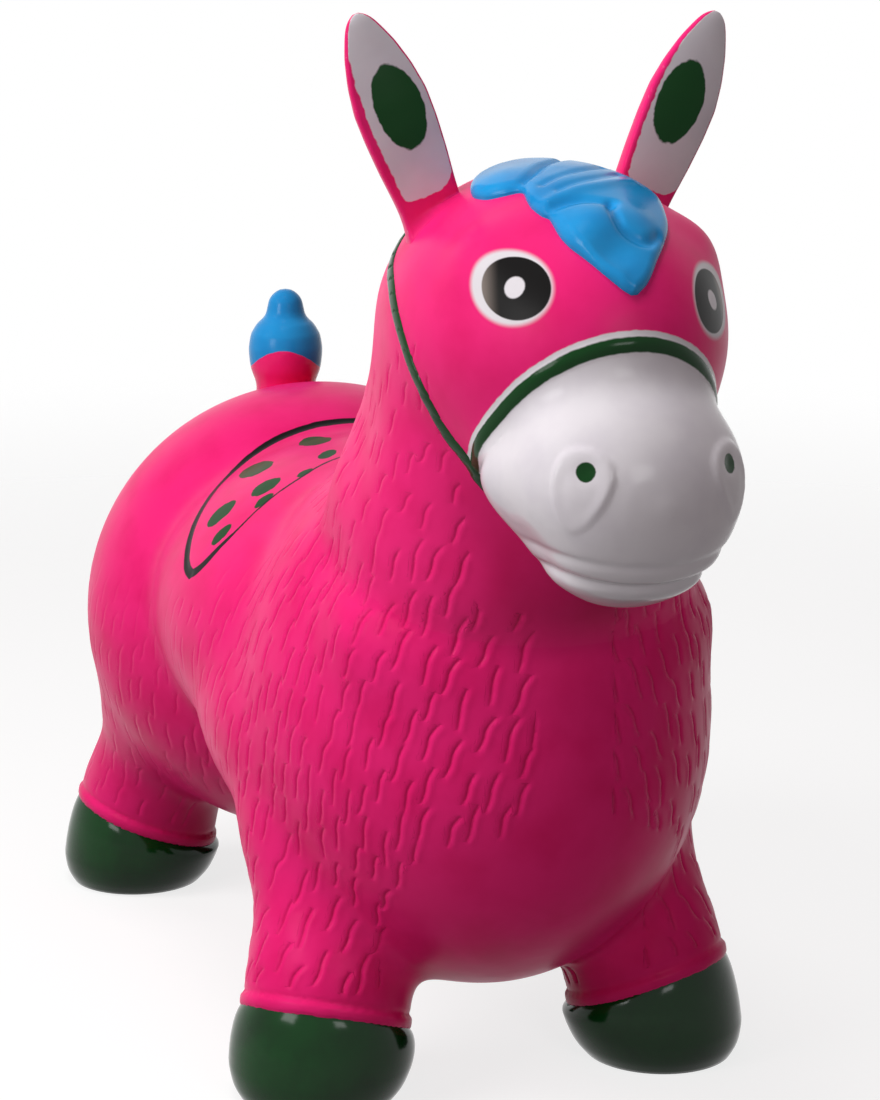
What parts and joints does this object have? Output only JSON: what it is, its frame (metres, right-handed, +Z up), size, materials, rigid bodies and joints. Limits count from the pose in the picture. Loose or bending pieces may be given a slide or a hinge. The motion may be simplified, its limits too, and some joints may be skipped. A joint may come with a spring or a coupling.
{
  "type": "inflatable animal hopper",
  "caption": "Inflatable ride-on horse for bouncing: a soft hollow body with splayed legs, flat-soled hooves, upright grip ears, a raised forelock, a tail and an air plug beneath.",
  "frame": {"origin": "on the ground, under the centre of the overall box, between the four soles", "axes": "+X to the horse's left, +Y from its head to its tail, +Z up"},
  "size_m": [0.2692, 0.6049, 0.529],
  "materials": {
    "pink_pvc": "soft gloss, moulded vinyl",
    "white_paint": "sprayed gloss on vinyl",
    "green_paint": "sprayed gloss on vinyl",
    "blue_paint": "sprayed satin on vinyl",
    "natural_plug": "plain"
  },
  "bodies": {
    "body": {"chest": "pink_pvc", "rump": "pink_pvc", "neck_and_head": "pink_pvc", "leg_front_left": "pink_pvc", "leg_front_right": "pink_pvc", "leg_rear_left": "pink_pvc", "leg_rear_right": "pink_pvc", "tail_stub": "pink_pvc", "valve_seat": "pink_pvc", "muzzle": "white_paint", "hoof_front_left": "green_paint", "hoof_front_right": "green_paint", "hoof_rear_left": "green_paint", "hoof_rear_right": "green_paint", "forelock": "blue_paint", "tail_tuft": "blue_paint"},
    "ear_left": {"ear_left": "pink_pvc"},
    "ear_right": {"ear_right": "pink_pvc"},
    "plug": {"valve_plug": "natural_plug"}
  },
  "joints": [
    {"name": "ear_left_bend", "type": "hinge", "parent": "body", "child": "ear_left", "pos_m": [0.04698, -0.147, 0.43115], "axis": [0.91, 0, -0.4147], "range_deg": [-20, 20], "stiffness_Nm_per_rad": 2},
    {"name": "ear_right_bend", "type": "hinge", "parent": "body", "child": "ear_right", "pos_m": [-0.04698, -0.147, 0.43115], "axis": [0.91, 0, 0.4147], "range_deg": [-20, 20], "stiffness_Nm_per_rad": 2},
    {"name": "plug_pull", "type": "slide", "parent": "body", "child": "plug", "axis": [0, 0, -1], "range_m": [0, 0.02]}
  ]
}
